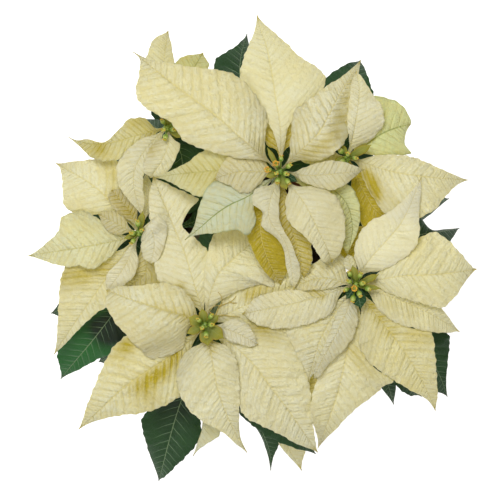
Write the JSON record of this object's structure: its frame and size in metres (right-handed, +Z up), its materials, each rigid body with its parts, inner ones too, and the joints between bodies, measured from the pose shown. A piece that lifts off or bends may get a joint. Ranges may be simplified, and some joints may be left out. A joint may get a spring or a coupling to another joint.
{
  "type": "potted poinsettia",
  "caption": "Cream-bracted poinsettia house plant in a plain round nursery pot, with broad pointed bracts round small flower clusters over dark green leaves.",
  "frame": {"origin": "middle of the pot's foot, on the surface it stands on", "axes": "+Z up along the pot's axis, -Y towards the front of the plant, +X to its right"},
  "size_m": [0.4502, 0.4682, 0.4026],
  "materials": {
    "pot": "satin",
    "soil": "matt, crumbly",
    "stem": "matt bark",
    "leaf": "satin",
    "bract": "matt",
    "flower": "satin"
  },
  "bodies": {
    "root": {"pot": "pot", "soil": "soil", "main_stem": "stem", "branch_back": "leaf", "bloom_back_bracts": "bract", "bloom_back_cyathia": "flower", "branch_right_back": "leaf", "bloom_right_back_bracts": "bract", "bloom_right_back_cyathia": "flower", "branch_left": "leaf", "bloom_left_bracts": "bract", "bloom_left_cyathia": "flower", "branch_front": "leaf", "bloom_front_bracts": "bract", "bloom_front_cyathia": "flower", "branch_right": "leaf", "bloom_right_bracts": "bract", "bloom_right_cyathia": "flower", "branch_left_back": "leaf", "bloom_left_back_bracts": "bract", "bloom_left_back_cyathia": "flower"}
  },
  "joints": []
}
